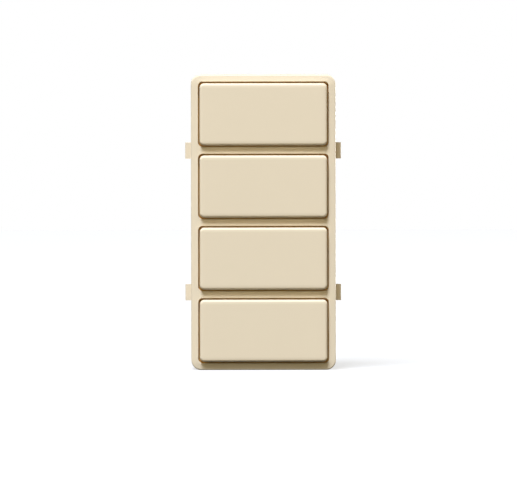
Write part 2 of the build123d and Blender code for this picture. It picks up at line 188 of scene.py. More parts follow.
@dataclass(frozen=True)
class MouldedPlastic:
    """Moulded plastic with a fine eroded grain and a faint mottle in its colour."""

    name: str
    colour: Colour
    roughness: float
    grain: float
    height: float
    strength: float = 0.5
    mottle: float = 0.1
    gloss: float = 0.22
    sheen: float = 0.05
    patch: float = 7.0 * MM

    def material(self) -> Finish:
        """Make the material.

        Returns:
            The new material.
        """
        board = ShaderBoard(self.name)
        board.shader.inputs["Specular IOR Level"].default_value = self.gloss
        board.feed(self.tint(board), "Base Color")
        grain = board.noise(self.grain, detail=3.0)
        polish = board.spread(grain, self.roughness - self.sheen, self.roughness + self.sheen)
        board.feed(polish, "Roughness")
        board.relief(grain, self.height, self.strength)
        return board.material

    def tint(self, board: ShaderBoard) -> Socket:
        """Give the mottled colour.

        Args:
            board: Board of the material.

        Returns:
            The colour socket.
        """
        darker = tuple(channel * (1.0 - self.mottle) for channel in self.colour)
        lighter = tuple(channel * (1.0 + self.mottle) for channel in self.colour)
        return board.blend(board.noise(self.patch, detail=4.0), darker, lighter)


@dataclass(frozen=True)
class PaintedGapShadePlastic(MouldedPlastic):
    """Moulded plastic with a painted warm shade, in place of light seeping through it, inside the
    face's narrow gaps.
    """

    # painted shade: warm, darker colour for the surfaces inside the face's gaps, standing in for
    # light through the plastic
    warm: Colour = (0.8, 0.55, 0.22)
    face: float = -12.75 * MM
    fade: float = 0.3 * MM
    reach: Pair = (14.85 * MM, 31.9 * MM)

    def tint(self, board: ShaderBoard) -> Socket:
        """Give the mottled colour with a painted warm shade below the face's level.

        Args:
            board: Board of the material.

        Returns:
            The colour socket.
        """
        parts = board.parts()
        # mask of the painted shade: 1 below the face's level and inside the frame's reach
        share = board.ramp(parts["Y"], (self.face, self.face + self.fade), (0.0, 1.0))
        for part, reach in zip("XZ", self.reach):
            inside = board.maths("LESS_THAN", board.maths("ABSOLUTE", parts[part]), reach)
            share = board.maths("MULTIPLY", share, inside)
        # blend the painted warm shade into the mottled colour
        return board.blend(share, super().tint(board), self.warm)


@dataclass(frozen=True)
class MarkedPlastic(MouldedPlastic):
    """Moulded plastic with a printed dot and ring beside the battery cap."""

    ink: Colour = (0.6, 0.6, 0.58)
    ink_share: float = 0.85
    dot: Pair = (0.0, -0.45 * MM)
    ring: Pair = (9.69 * MM, -4.46 * MM)
    mark_radius: float = 0.62 * MM
    line: float = 0.22 * MM
    blur: float = 0.02 * MM

    def away(self, board: ShaderBoard, centre: Pair) -> Socket:
        """Measure the distance from a point of the rear face.

        Args:
            board: Board of the material.
            centre: X and Z of the point in metres.

        Returns:
            The socket that gives the distance in metres.
        """
        point = (centre[0], 0.0, centre[1])
        ends = {0: board.place, 1: point}
        return board.add("VectorMath", ends, operation="DISTANCE").outputs["Value"]

    def tint(self, board: ShaderBoard) -> Socket:
        """Give the mottled colour with the printed marks on it.

        Args:
            board: Board of the material.

        Returns:
            The colour socket.
        """
        rim = (self.mark_radius - self.blur, self.mark_radius + self.blur)
        dot = board.ramp(self.away(board, self.dot), rim, (1.0, 0.0))
        half = self.line / 2
        off_line = board.maths("SUBTRACT", self.away(board, self.ring), self.mark_radius - half)
        sides = (half - self.blur, half + self.blur)
        ring = board.ramp(board.maths("ABSOLUTE", off_line), sides, (1.0, 0.0))
        marks = board.maths("MULTIPLY", board.maths("MAXIMUM", dot, ring), self.ink_share)
        return board.blend(marks, super().tint(board), self.ink)


@dataclass(frozen=True)
class SolderMask:
    """Glossy lacquer over copper tracks, which show as paler raised lines between plated holes.

    The groups of tracks, their pitch and the holes' spacing are in track widths. The inner and
    outer edge of a line or a hole are shares of that pitch or spacing.
    """

    name: str
    colour: Colour
    over_copper: Colour
    track: float
    tin: Colour = (0.5, 0.49, 0.46)
    group: float = 13.0
    group_scatter: float = 0.7
    level_below: float = 0.4
    upright_above: float = 0.62
    pitch: float = 2.5
    line: Pair = (0.17, 0.21)
    hole_spacing: float = 9.0
    hole_scatter: float = 0.8
    hole: Pair = (0.055, 0.068)
    sheen: Pair = (0.22, 0.32)
    sheen_patch: float = 1.5 * MM
    height: float = 0.03 * MM
    strength: float = 0.8

    def cells(self, board: ShaderBoard, widths: float, scatter: float) -> bpy.types.NodeOutputs:
        """Divide the board's face into cells.

        Args:
            board: Board of the material.
            widths: Size of a cell in track widths.
            scatter: Share of the way from even to scattered.

        Returns:
            The sockets that give the cells' colours and the distance from their middles.
        """
        face = board.mapped(turn=(90.0, 0.0, 0.0))
        inputs = {"Vector": face, "Scale": 1.0 / (widths * self.track), "Randomness": scatter}
        return board.add("TexVoronoi", inputs, voronoi_dimensions="2D").outputs

    def tracks(self, board: ShaderBoard) -> Socket:
        """Draw groups of parallel tracks, upright in some cells and level in others.

        Args:
            board: Board of the material.

        Returns:
            The socket that is 1 on the tracks.
        """
        parts = board.parts()
        colour = self.cells(board, self.group, self.group_scatter)["Color"]
        chance = board.add("SeparateColor", {0: colour}).outputs["Red"]
        upright = board.maths("GREATER_THAN", chance, self.upright_above)
        level = board.maths("LESS_THAN", chance, self.level_below)
        drawn = []
        for part, group in (("X", upright), ("Z", level)):
            count = board.maths("MULTIPLY", parts[part], 1.0 / (self.pitch * self.track))
            off_line = board.maths("SUBTRACT", board.maths("FRACT", count), 0.5)
            lines = board.ramp(board.maths("ABSOLUTE", off_line), self.line, (1.0, 0.0))
            drawn.append(board.maths("MULTIPLY", group, lines))
        return board.maths("MAXIMUM", *drawn)

    def material(self) -> Finish:
        """Make the material.

        Returns:
            The new material.
        """
        board = ShaderBoard(self.name)
        tracks = self.tracks(board)
        middle = self.cells(board, self.hole_spacing, self.hole_scatter)["Distance"]
        holes = board.ramp(middle, self.hole, (1.0, 0.0))
        lacquer = board.blend(tracks, self.colour, self.over_copper)
        board.feed(board.blend(holes, lacquer, self.tin), "Base Color")
        board.feed(board.spread(board.noise(self.sheen_patch), *self.sheen), "Roughness")
        board.relief(board.maths("MAXIMUM", tracks, holes), self.height, self.strength)
        return board.material


@dataclass(frozen=True)
class SheetMetal:
    """Rolled or drawn metal with fine lines along one direction."""

    name: str
    colour: Colour
    roughness: float
    stain: Colour
    stretch: tuple[float, float, float] = (1.0, 1.0, 1.0)
    stain_share: float = 0.6
    stain_span: Pair = (0.45, 0.75)
    stain_patch: float = 2.5 * MM
    line: float = 0.08 * MM
    smoother: float = 0.08
    rougher: float = 0.1
    height: float = 0.004 * MM
    strength: float = 0.5

    def material(self) -> Finish:
        """Make the material.

        Returns:
            The new material.
        """
        board = ShaderBoard(self.name)
        board.shader.inputs["Metallic"].default_value = 1.0
        lines = board.noise(self.line, place=board.mapped(scale=self.stretch))
        patches = board.noise(self.stain_patch, detail=4.0)
        stains = board.ramp(patches, self.stain_span, (0.0, self.stain_share))
        board.feed(board.blend(stains, self.colour, self.stain), "Base Color")
        polish = board.spread(lines, self.roughness - self.smoother, self.roughness + self.rougher)
        board.feed(polish, "Roughness")
        board.relief(lines, self.height, self.strength)
        return board.material


IVORY = (0.77, 0.667, 0.50)
CHARCOAL = (0.055, 0.056, 0.06)
# both ivory finishes carry a painted warm shade on their surfaces inside the face's gaps
IVORY_FACE = PaintedGapShadePlastic(
    "ivory_face", IVORY,
    roughness=0.4, grain=0.14 * MM, height=0.006 * MM, mottle=0.012,
)
IVORY_BUTTON = PaintedGapShadePlastic(
    "ivory_button", IVORY,
    roughness=0.4, grain=0.11 * MM, height=0.005 * MM, mottle=0.012,
)
CHASSIS_BLACK = MouldedPlastic(
    "chassis_black", (0.03, 0.03, 0.032),
    roughness=0.42, grain=0.3 * MM, height=0.008 * MM, mottle=0.08,
)
CAP_CHARCOAL = MouldedPlastic(
    "cap_charcoal", CHARCOAL,
    roughness=0.46, grain=0.34 * MM, height=0.09 * MM, strength=0.9, gloss=0.5,
)
COVER_CHARCOAL = MarkedPlastic(
    "cover_charcoal", CHARCOAL,
    roughness=0.48, grain=0.34 * MM, height=0.09 * MM, strength=0.9, gloss=0.5,
)
MARK_GREY = MouldedPlastic(
    "mark_grey", (0.42, 0.42, 0.41),
    roughness=0.5, grain=0.2 * MM, height=0.01 * MM, mottle=0.05,
)
SWITCH_BLACK = MouldedPlastic(
    "switch_black", (0.02, 0.02, 0.021),
    roughness=0.48, grain=0.15 * MM, height=0.015 * MM, strength=0.6,
)
PLUNGER_CREAM = MouldedPlastic(
    "plunger_cream", (0.55, 0.53, 0.48),
    roughness=0.38, grain=0.2 * MM, height=0.005 * MM, strength=0.4, mottle=0.03,
)
CAPACITOR_TAN = MouldedPlastic(
    "capacitor_tan", (0.34, 0.21, 0.11),
    roughness=0.45, grain=0.06 * MM, height=0.01 * MM, mottle=0.12,
)
RESISTOR_BLACK = MouldedPlastic(
    "resistor_black", (0.015, 0.015, 0.018),
    roughness=0.3, grain=0.06 * MM, height=0.004 * MM, strength=0.4,
)
BOARD_GREEN = SolderMask(
    "board_green", (0.008, 0.10, 0.045), over_copper=(0.03, 0.2, 0.09), track=0.45 * MM
)
RADIO_BLUE = SolderMask(
    "radio_blue", (0.008, 0.03, 0.13), over_copper=(0.02, 0.08, 0.24), track=0.3 * MM
)
TINPLATE = SheetMetal(
    "tinplate", (0.66, 0.66, 0.64),
    roughness=0.3, stain=(0.5, 0.49, 0.46), stretch=(1.0, 1.0, 0.05),
)
NICKEL = SheetMetal(
    "nickel_strip", (0.66, 0.62, 0.55),
    roughness=0.26, stain=(0.5, 0.45, 0.38), stretch=(0.05, 1.0, 1.0),
)
CELL_STEEL = SheetMetal(
    "cell_steel", (0.63, 0.63, 0.63),
    roughness=0.24, stain=(0.52, 0.52, 0.51), stretch=(0.04, 1.0, 1.0),
)
ZINC = SheetMetal("zinc_plate", (0.58, 0.58, 0.57), roughness=0.3, stain=(0.42, 0.43, 0.45))
GOLD = SheetMetal("gold_flash", (0.83, 0.6, 0.26), roughness=0.25, stain=(0.7, 0.46, 0.17))


class Shaping:
    """Edit mode on one piece, with its faces, edges and points picked in code."""

    def __init__(self, piece: Piece) -> None:
        """Name the piece to shape."""
        self.piece = piece

    def __enter__(self) -> "Shaping":
        """Open edit mode with nothing picked.

        Returns:
            This shaping.
        """
        pick_up(self.piece)
        bpy.ops.object.mode_set(mode="EDIT")
        bpy.ops.mesh.select_all(action="DESELECT")
        return self

    def __exit__(self, *problem: object) -> None:
        """Close edit mode."""
        bpy.ops.object.mode_set(mode="OBJECT")

    def pick(self, kind: str, test: Callable[[Vector, Vector], bool]) -> None:
        """Pick the elements that pass a test, and nothing else.

        Args:
            kind: VERT, EDGE or FACE.
            test: Takes the lowest and highest corner of an element.
        """
        bpy.ops.mesh.select_mode(type=kind)
        bpy.ops.mesh.select_all(action="DESELECT")
        shape = bmesh.from_edit_mesh(self.piece.data)
        elements = {"VERT": shape.verts, "EDGE": shape.edges, "FACE": shape.faces}[kind]
        for element in elements:
            points = [element.co] if kind == "VERT" else [point.co for point in element.verts]
            low = Vector(map(min, zip(*points)))
            high = Vector(map(max, zip(*points)))
            element.select_set(bool(test(low, high)))
        shape.select_flush_mode()
        bmesh.update_edit_mesh(self.piece.data)

    def everything(self) -> None:
        """Pick the whole mesh."""
        bpy.ops.mesh.select_all(action="SELECT")

    def pull(self, way: Sequence[float]) -> None:
        """Extrude what is picked by a move in metres."""
        bpy.ops.mesh.extrude_region_move(TRANSFORM_OT_translate={"value": way})

    def bevel(self, width: float, segments: int, **settings: float) -> None:
        """Bevel the picked edges by a width in metres."""
        bpy.ops.mesh.bevel(offset=width, segments=segments, affect="EDGES", **settings)

    def face_outwards(self) -> None:
        """Merge doubled points and turn all faces outwards."""
        self.everything()
        bpy.ops.mesh.remove_doubles(threshold=DOUBLED)
        bpy.ops.mesh.normals_make_consistent(inside=False)


def pick_up(*pieces: Piece) -> None:
    """Select only these pieces, with the first one active.

    Args:
        *pieces: Pieces to select.
    """
    bpy.ops.object.select_all(action="DESELECT")
    for piece in pieces:
        piece.select_set(True)
    bpy.context.view_layer.objects.active = pieces[0]


def settle(name: str) -> Piece:
    """Name the piece just added and put its place into its mesh.

    Args:
        name: Name of the piece.

    Returns:
        The piece.
    """
    piece = bpy.context.object
    piece.name = name
    piece.data.name = name
    bpy.ops.object.transform_apply(location=True, rotation=True, scale=True)
    return piece


def block(name: str, low: Vector, high: Vector) -> Piece:
    """Add a block between two corners.

    Args:
        name: Name of the piece.
        low: Lowest corner in metres.
        high: Highest corner in metres.

    Returns:
        The new piece.
    """
    bpy.ops.object.select_all(action="DESELECT")
    bpy.ops.mesh.primitive_cube_add(size=1.0, location=(low + high) / 2, scale=high - low)
    return settle(name)


def outline(name: str, points: Sequence[Vector]) -> Piece:
    """Draw a line of points, one extruded from the other.

    Args:
        name: Name of the piece.
        points: Points in metres.

    Returns:
        The new piece, of points and edges only.
    """
    bpy.ops.object.select_all(action="DESELECT")
    bpy.ops.mesh.primitive_plane_add(size=MM, location=points[0])
    piece = settle(name)
    with Shaping(piece) as shaping:
        bpy.ops.mesh.select_mode(type="VERT")
        shaping.everything()
        bpy.ops.mesh.merge(type="CENTER")
        for start, end in zip(points, points[1:]):
            shaping.pull(end - start)
    return piece


def refine(piece: Piece, kind: str, **settings: object) -> None:
    """Add a modifier and apply it.

    Args:
        piece: Piece to change.
        kind: Blender's name of the modifier.
        **settings: Values of the modifier.
    """
    pick_up(piece)
    modifier = piece.modifiers.new(kind.lower(), kind)
    for name, value in settings.items():
        setattr(modifier, name, value)
    bpy.ops.object.modifier_apply(modifier=modifier.name)


def soften(piece: Piece, width: float, segments: int = 2, sharp: float = 30.0) -> None:
    """Round the sharp edges of a piece.

    Args:
        piece: Piece to change.
        width: Width of the rounding in metres.
        segments: Number of faces across it.
        sharp: Least angle of a sharp edge in degrees.
    """
    limit = {"limit_method": "ANGLE", "angle_limit": math.radians(sharp)}
    refine(piece, "BEVEL", width=width, segments=segments, **limit)


def copied(piece: Piece, name: str, move: Matrix) -> Piece:
    """Copy a piece with a mesh of its own.

    Args:
        piece: Piece to copy.
        name: Name of the copy.
        move: Move of the copy's mesh.

    Returns:
        The copy.
    """
    twin = piece.copy()
    twin.data = piece.data.copy()
    twin.data.transform(move)
    twin.name = name
    twin.data.name = name
    bpy.context.scene.collection.objects.link(twin)
    return twin


def turned(centre: Vector, angle: float) -> Matrix:
    """Give a turn about a front-to-rear axis.

    Args:
        centre: A point on the axis in metres.
        angle: Angle in degrees.

    Returns:
        The turn.
    """
    turn = Matrix.Rotation(math.radians(angle), 4, "Y")
    return Matrix.Translation(centre) @ turn @ Matrix.Translation(-centre)


def joined(name: str, *pieces: Piece) -> Piece:
    """Join pieces into one.

    Args:
        name: Name of the joined piece.
        *pieces: Pieces to join.

    Returns:
        The joined piece.
    """
    pick_up(*pieces)
    bpy.ops.object.join()
    pieces[0].name = name
    pieces[0].data.name = name
    return pieces[0]


def fit(piece: Piece, finish: Finish, body: Body, slot: Slot, *nodes: str) -> None:
    """Smooth a finished piece, dress it and fix it to its body.

    Args:
        piece: Finished piece.
        finish: Its material.
        body: Body that it rides on.
        slot: Record slot named for the piece; not used.
        *nodes: CAD nodes that it stands for.
    """
    pick_up(piece)
    bpy.ops.object.shade_smooth_by_angle(angle=SMOOTH_ANGLE)
    piece.data.materials.clear()
    piece.data.materials.append(finish)
    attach(piece, body.value)
    if nodes:
        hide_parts(*nodes)
    log.info("made %s with %d faces", piece.name, len(piece.data.polygons))


def dress(finish: Finish, *names: str) -> None:
    """Give CAD nodes a finish.

    Args:
        finish: Material to give.
        *names: Names of the nodes.
    """
    for name in names:
        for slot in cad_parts[name].material_slots:
            slot.material = finish
        log.info("dressed %s in %s", name, finish.name)


@dataclass
class FaceKit:
    """The ivory frame and its four buttons."""

    frame_node: str = "bezel"
    buttons: int = 4

    def build(self) -> None:
        """Dress the frame and the buttons."""
        dress(IVORY_FACE.material(), self.frame_node)
        buttons = [f"button_{number}" for number in range(1, self.buttons + 1)]
        dress(IVORY_BUTTON.material(), *buttons)


@dataclass
class SwitchBoard:
    """The chassis, the board and its four tactile switches with their soldered leads."""

    switches: int = 4
    lead_spacing: float = 4.6 * MM
    lead_width: float = 0.7 * MM
    lead_thickness: float = 0.15 * MM
    lead_rise: float = 0.7 * MM
    foot: float = 0.28 * MM
    solder_rise: float = 0.32 * MM
    solder_width: float = 0.588 * MM
    solder_reach: float = 0.266 * MM
    solder_hollow: float = 0.2
    edge: float = 0.03 * MM

    def lead(self, name: str, root: Vector) -> Piece:
        """Model one bent lead with its solder.

        Args:
            name: Name of the piece.
            root: Point where the lead meets the switch's side at the board, in metres.

        Returns:
            The lead.
        """
        half = self.lead_width / 2
        low = root - Vector((0.0, self.lead_rise, half))
        high = root + Vector((self.lead_thickness, 0.0, half))
        lead = block(name, low, high)
        knee = root - Vector((0.0, self.lead_thickness, 0.0))
        with Shaping(lead) as shaping:
            shaping.everything()
            bpy.ops.mesh.bisect(plane_co=knee, plane_no=REARWARDS)
            shaping.pick("FACE", lambda a, b: a.x > high.x - NEAR and a.y > knee.y - NEAR)
            shaping.pull((self.foot, 0.0, 0.0))
            shaping.face_outwards()
        soften(lead, self.edge)
        return joined(name, lead, self.solder(f"{name}_solder", Vector((high.x, knee.y, root.z))))

    def solder(self, name: str, corner: Vector) -> Piece:
        """Model the hollow wedge of solder in a lead's bend.

        Args:
            name: Name of the wedge.
            corner: Inner corner of the bend in metres.

        Returns:
            The wedge.
        """
        half = self.solder_width / 2
        low = corner - Vector((self.edge, self.solder_rise, half))
        high = corner + Vector((self.solder_reach, self.edge, half))
        wedge = block(name, low, high)
        with Shaping(wedge) as shaping:
            shaping.pick("EDGE", lambda a, b: a.x > high.x - NEAR and b.y < low.y + NEAR)
            hollow = {"profile": self.solder_hollow, "clamp_overlap": True}
            shaping.bevel(self.solder_reach, segments=4, **hollow)
            shaping.face_outwards()
        return wedge

    def leads(self, number: int, finish: Finish) -> None:
        """Model the four leads of one switch.

        Args:
            number: Number of the switch.
            finish: Material of the leads.
        """
        low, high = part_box(f"switch_base_{number}")
        centre = (low + high) / 2
        name = f"switch_leads_{number}"
        first = self.lead(name, Vector((high.x, high.y, centre.z + self.lead_spacing / 2)))
        below = copied(first, f"{name}_below", Matrix.Translation((0.0, 0.0, -self.lead_spacing)))
        pair = joined(name, first, below)
        other = copied(pair, f"{name}_other", turned(centre, 180.0))
        fit(joined(name, pair, other), finish, Body.HOUSING, Slot.TINNED_STEEL)

    def build(self) -> None:
        """Dress the chassis and board, and model the switches' leads."""
        tin = TINPLATE.material()
        dress(CHASSIS_BLACK.material(), "chassis")
        dress(BOARD_GREEN.material(), "circuit_board")
        numbers = range(1, self.switches + 1)
        dress(SWITCH_BLACK.material(), *(f"switch_base_{number}" for number in numbers))
        dress(tin, *(f"switch_cover_{number}" for number in numbers))
        dress(PLUNGER_CREAM.material(), *(f"switch_plunger_{number}" for number in numbers))
        for number in numbers:
            self.leads(number, tin)


@dataclass
class ChipParts:
    """Chip capacitors and resistors with metal ends and solder, in place of the plain CAD ones."""

    node: str = "chip_parts"
    width: float = 1.0 * MM
    length: float = 2.0 * MM
    rows: int = 4
    end: float = 0.42 * MM
    inset: float = 0.05 * MM
    edge: float = 0.05 * MM
    solder: float = 0.22 * MM
    solder_drop: float = 0.7

    def chip(self, name: str, low: Vector, high: Vector) -> tuple[Piece, Piece]:
        """Model one chip.

        Args:
            name: Name of the chip.
            low: Lowest corner of the CAD chip in metres.
            high: Highest corner of the CAD chip in metres.

        Returns:
            The ceramic body and the two metal ends.
        """
        centre = (low + high) / 2
        sink = Vector((self.inset, self.inset, self.end - self.inset))
        body = block(name, low + sink, high - sink)
        soften(body, self.edge / 2)
        end = block(f"{name}_end", Vector((low.x, low.y, high.z - self.end)), high)
        with Shaping(end) as shaping:
            shaping.pick("FACE", lambda a, b: a.z > high.z - NEAR)
            shaping.pull((0.0, 0.0, self.solder))
            shaping.pick("EDGE", lambda a, b: a.z > high.z + NEAR and a.y > high.y - NEAR)
            bpy.ops.transform.translate(value=(0.0, self.solder_drop * (low.y - high.y), 0.0))
            shaping.face_outwards()
        soften(end, self.edge, segments=3)
        other = copied(end, f"{name}_other", turned(centre, 180.0))
        return body, joined(f"{name}_ends", end, other)

    def build(self) -> None:
        """Model the two columns of chips."""
        low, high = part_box(self.node)
        size = Vector((self.width, high.y - low.y, self.length))
        body, ends = self.chip("chip", low, low + size)
        step = (high.z - low.z - self.length) / (self.rows - 1)
        columns: list[list[Piece]] = [[], []]
        metal: list[Piece] = []
        for column, across in enumerate((0.0, high.x - low.x - self.width)):
            for row in range(self.rows):
                move = Matrix.Translation((across, 0.0, row * step))
                columns[column].append(copied(body, f"chip_{column}_{row}", move))
                metal.append(copied(ends, f"chip_ends_{column}_{row}", move))
        for spare in (body, ends):
            bpy.data.objects.remove(spare)
        capacitors = joined("chip_capacitors", *columns[0])
        resistors = joined("chip_resistors", *columns[1])
        fit(capacitors, CAPACITOR_TAN.material(), Body.HOUSING, Slot.CHIP_CERAMIC, self.node)
        fit(resistors, RESISTOR_BLACK.material(), Body.HOUSING, Slot.CHIP_CERAMIC)
        fit(joined("chip_ends", *metal), TINPLATE.material(), Body.HOUSING, Slot.TINNED_STEEL)


@dataclass
class RadioModule:
    """The radio board with its edge pads and aerial, and a pressed shield can."""

    board_node: str = "radio_board"
    shield_node: str = "radio_shield"
    corner: float = 0.6 * MM
    rim: float = 0.25 * MM
    lid_inset: float = 0.2 * MM
    lid_sink: float = 0.06 * MM
    seam: float = 0.06 * MM
    seam_level: float = 0.4
    aerial_turns: int = 8
    aerial_pitch: float = 1.45 * MM
    aerial_margin: float = 0.7 * MM
    aerial_wire: float = 0.14 * MM
    pads: int = 9
    pad_width: float = 0.8 * MM
    pad_reach: float = 0.7 * MM
    pad_lift: float = 0.04 * MM
    pad_edge: float = 0.024 * MM
    pad_gap: float = 0.001 * MM

    def shield(self) -> None:
        """Press the shield can: rounded corners and rim, a sunk lid and a seam round its side."""
        low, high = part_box(self.shield_node)
        can = block("shield_can", low, high)
        height = high.y - low.y
        level = low.y + height * self.seam_level
        with Shaping(can) as shaping:
            shaping.pick("EDGE", lambda a, b: b.y - a.y > height / 2)
            shaping.bevel(self.corner, segments=5)
            shaping.pick("EDGE", lambda a, b: a.y > high.y - NEAR)
            shaping.bevel(self.rim, segments=4)
            shaping.pick("FACE", lambda a, b: a.y > high.y - NEAR)
            bpy.ops.mesh.inset(thickness=self.lid_inset)
            bpy.ops.mesh.inset(thickness=self.lid_sink, depth=-self.lid_sink)
            shaping.everything()
            bpy.ops.mesh.bisect(plane_co=(0.0, level, 0.0), plane_no=REARWARDS)
            shaping.pick("EDGE", lambda a, b: max(abs(a.y - level), abs(b.y - level)) < NEAR)
            shaping.bevel(self.seam, segments=2)
            shaping.pick("VERT", lambda a, b: abs(a.y - level) < NEAR)
            bpy.ops.transform.shrink_fatten(value=-self.seam)
            shaping.face_outwards()
        fit(can, TINPLATE.material(), Body.HOUSING, Slot.TINNED_STEEL, self.shield_node)

    def aerial(self, finish: Finish) -> None:
        """Lay the folded aerial, half sunk, on the free end of the radio board.

        Args:
            finish: Material of the aerial.
        """
        low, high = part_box(self.board_node)
        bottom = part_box(self.shield_node)[1].z + self.aerial_margin
        top = high.z - self.aerial_margin
        left = (low.x + high.x - (self.aerial_turns - 1) * self.aerial_pitch) / 2
        points = []
        for turn in range(self.aerial_turns):
            ends = (bottom, top) if turn % 2 == 0 else (top, bottom)
            points += [Vector((left + turn * self.aerial_pitch, high.y, end)) for end in ends]
        wire = outline("radio_aerial", points)
        pick_up(wire)
        bpy.ops.object.convert(target="CURVE")
        wire.data.bevel_depth = self.aerial_wire
        wire.data.bevel_resolution = 2
        wire.data.use_fill_caps = True
        bpy.ops.object.convert(target="MESH")
        with Shaping(wire) as shaping:
            shaping.face_outwards()
        fit(wire, finish, Body.HOUSING, Slot.CONTACT_METAL)

    def edge_pads(self, finish: Finish) -> None:
        """Wrap solder pads round the long edges of the radio board.

        Args:
            finish: Material of the pads.
        """
        low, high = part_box(self.board_node)
        shield_low, shield_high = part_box(self.shield_node)
        step = (shield_high.z - shield_low.z - self.pad_width) / (self.pads - 1)
        start = Vector((high.x - self.pad_reach, low.y + self.pad_gap, shield_low.z))
        end = Vector((high.x + self.pad_lift, high.y + self.pad_lift, start.z + self.pad_width))
        pad = block("pad", start, end)
        with Shaping(pad) as shaping:
            shaping.pick("EDGE", lambda a, b: a.x > high.x and b.z - a.z > self.pad_width / 2)
            shaping.bevel(self.pad_edge, segments=2)
            shaping.face_outwards()
        moves = [Matrix.Translation((0.0, 0.0, number * step)) for number in range(self.pads)]
        row = [copied(pad, f"pad_{number}", move) for number, move in enumerate(moves)]
        bpy.data.objects.remove(pad)
        side = joined("radio_pads", *row)
        middle = Vector(((low.x + high.x) / 2, 0.0, (shield_low.z + shield_high.z) / 2))
        both = joined("radio_pads", side, copied(side, "other_pads", turned(middle, 180.0)))
        fit(both, finish, Body.HOUSING, Slot.CONTACT_METAL)

    def build(self) -> None:
        """Dress the radio board and model what it carries."""
        gold = GOLD.material()
        dress(RADIO_BLUE.material(), self.board_node)
        self.shield()
        self.aerial(gold)
        self.edge_pads(gold)


@dataclass
class CellHolder:
    """The coin cell and its two contacts."""

    cell: str = "coin_cell"
    contacts: tuple[str, str] = ("cell_clip", "cell_spring")

    def build(self) -> None:
        """Dress the cell and the contacts."""
        dress(CELL_STEEL.material(), self.cell)
        dress(NICKEL.material(), *self.contacts)


